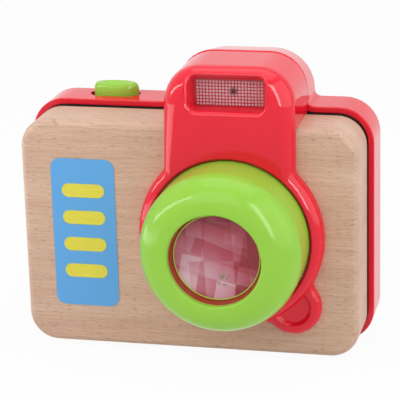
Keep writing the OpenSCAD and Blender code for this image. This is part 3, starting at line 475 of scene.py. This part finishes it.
def makeShutterOval(look):
    low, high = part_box("shutter_button")
    middle = (Vector(low) + Vector(high)) / 2
    top, base = high[2] / mm, high[2] / mm - look["height"]
    length, depth, stem, (rim, roll) = (look[k] for k in ("halfLength", "halfDepth", "stem", "rim"))
    wide, deep = length + look["flangeMore"][0], depth + look["flangeMore"][1]
    shoulder = base + look["flange"]
    rows = [(stem, stem, low[2] / mm), (stem, stem, base), (wide, deep, base), (wide, deep, shoulder),
            (length, depth, shoulder)]  # half length, half depth and height of each ring
    for i in range(look["rimSteps"] + 1):  # rolled rim
        a = math.radians(i * 90 / look["rimSteps"])
        inset = rim * (1 - math.cos(a))
        rows.append((length - inset, depth - inset, top - roll * (1 - math.sin(a))))
    for i in range(1, look["dishSteps"]):  # dish
        s = 1 - i / look["dishSteps"]
        fall = look["dish"] * (1 + math.cos(math.pi * s)) / 2
        rows.append(((length - rim) * s, (depth - rim) * s, top - fall))
    shape = bmesh.new()
    rings = [[shape.verts.new((middle.x + wide * math.cos(a) * mm, middle.y + deep * math.sin(a) * mm, z * mm))
              for a in evenTurn(look["steps"])] for wide, deep, z in rows]
    skinRings(shape, rings)
    shape.faces.new(rings[0])
    shape.faces.new(rings[-1]).smooth = True
    piece = newPiece("shutterOval", shape, [greenAbs])
    piece.modifiers.new("sharpEdges", "EDGE_SPLIT").split_angle = math.radians(look["sharpAngle"])
    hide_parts("shutter_button")
    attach(piece, "shutter")


makeShutterOval(shutterOval)

# Coil spring of drawn steel wire under the button
buttonSpring = {"radius": 2.9, "wire": 0.35, "curls": 6.5, "perCurl": 24, "sides": 10, "pressed": 3.0}


def makeButtonSpring(look):
    low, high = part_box("button_spring")
    foot = Vector(((low[0] + high[0]) / 2, (low[1] + high[1]) / 2, low[2]))
    steps = round(look["curls"] * look["perCurl"])
    wire = look["wire"] * mm
    rise = high[2] - low[2] - 2 * wire
    shape = bmesh.new()
    rings = []
    for i in range(steps + 1):
        a = 2 * math.pi * i / look["perCurl"]
        out = Vector((math.cos(a), math.sin(a), 0))
        centre = foot + out * look["radius"] * mm + Vector((0, 0, wire + rise * i / steps))
        rings.append([shape.verts.new(centre + (out * math.cos(b) + Vector((0, 0, math.sin(b)))) * wire)
                      for b in evenTurn(look["sides"])])
    skinRings(shape, rings)
    shape.faces.new(rings[0])
    shape.faces.new(rings[-1])
    piece = newPiece("coilSpring", shape, [springSteel])
    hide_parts("button_spring")
    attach(piece, "camera")
    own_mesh(piece)


makeButtonSpring(buttonSpring)

# The barrel's sloping lip, from just ahead of the lens, gets painted shade: a darker brown red for the ring's
# shade, with a painted green bounce from the ring
barrelLip = {"ahead": 0.1}
barrel = parts["lens_barrel"]
barrel.data.materials.append(lipShadeRedAbs)
for face in barrel.data.polygons:
    if (barrel.matrix_world @ face.center).y < lensAxis.y - barrelLip["ahead"] * mm:
        face.material_index = 1
print("pieces built")


# Plain white floor and soft lights, in metres.
# A light has its name, place, width and height, upright direction and watts
studio = {"floor": "#E2E2E2", "floorSize": 12, "floorWhite": 0.95, "ambient": 0.36,
          "aim": (0.015, -0.01, 0.05), "shineOnly": ("rightStrip", "leftCard"),
          "lights": [("rightStrip", (0.63, -0.78, 0.50), (0.20, 0.85), (0.0, 0.0, 1.0), 5.0),
                     ("leftCard", (-0.27, -0.06, 0.03), (0.36, 0.05), (0.0, 0.0, 1.0), 0.15),
                     ("leftStrip", (-0.76, -0.36, 0.45), (0.10, 0.85), (0.52, -0.545, 0.5), 3.0),
                     ("frontSoftbox", (-0.25, -1.0, 0.9), (1.0, 0.8), (0.0, 0.5, 1.0), 4.6),
                     ("topSoftbox", (0.05, 0.15, 1.1), (1.1, 0.9), (0.0, 1.0, 0.0), 4.2),
                     ("rightSoftbox", (0.85, -0.20, 0.42), (1.2, 1.0), (0.0, 0.0, 1.0), 5.2)]}


def whiteRays(tree):  # 1 for what the camera sees, straight, in the gloss or through clear pieces
    path = addNode(tree, "ShaderNodeLightPath")
    seen = addNode(tree, "ShaderNodeMath", {"operation": "MAXIMUM"}, {
        0: path.outputs["Is Camera Ray"], 1: path.outputs["Is Glossy Ray"]})
    through = addNode(tree, "ShaderNodeMath", {"operation": "MAXIMUM"}, {
        0: seen.outputs[0], 1: path.outputs["Is Transmission Ray"]})
    return through.outputs[0]


def makeFloor(spec):
    bpy.ops.mesh.primitive_plane_add(size=spec["floorSize"])
    floor = bpy.context.object
    floor.name = "studioFloor"
    material, tree = newMaterial("whitePaperFloor")
    share = addNode(tree, "ShaderNodeMath", {"operation": "MULTIPLY"}, {
        0: whiteRays(tree), 1: spec["floorWhite"]})  # what is left keeps the shadow
    paper = addNode(tree, "ShaderNodeBsdfDiffuse", {}, {"Color": linear(spec["floor"])})
    white = addNode(tree, "ShaderNodeEmission", {}, {"Color": (1, 1, 1, 1), "Strength": 1.0})
    both = addNode(tree, "ShaderNodeMixShader", {}, {
        0: share.outputs[0], 1: paper.outputs[0], 2: white.outputs[0]})
    addNode(tree, "ShaderNodeOutputMaterial", {}, {"Surface": both.outputs[0]})
    floor.data.materials.append(material)


def makeLights(spec):
    for name, spot, (width, height), along, power in spec["lights"]:
        data = bpy.data.lights.new(name, "AREA")
        data.shape = "RECTANGLE"
        data.size, data.size_y = width, height
        data.energy = power
        lamp = bpy.data.objects.new(name, data)
        scene.collection.objects.link(lamp)
        away = (Vector(spot) - Vector(spec["aim"])).normalized()
        tall = (Vector(along) - away * away.dot(Vector(along))).normalized()
        turn = Matrix((tall.cross(away), tall, away)).transposed().to_4x4()
        lamp.matrix_world = Matrix.Translation(spot) @ turn
        lamp.visible_diffuse = name not in spec["shineOnly"]  # cards that only show in the gloss


def makeWorld(spec):
    world = bpy.data.worlds.new("whiteStudio")
    world.use_nodes = True
    tree = world.node_tree
    tree.nodes.clear()
    level = addNode(tree, "ShaderNodeMapRange", {}, {
        "Value": whiteRays(tree), "To Min": spec["ambient"], "To Max": 1.0})
    sky = addNode(tree, "ShaderNodeBackground", {}, {"Color": (1, 1, 1, 1), "Strength": level.outputs[0]})
    addNode(tree, "ShaderNodeOutputWorld", {}, {"Surface": sky.outputs[0]})
    scene.world = world


makeFloor(studio)
makeLights(studio)
makeWorld(studio)
print("studio lit")
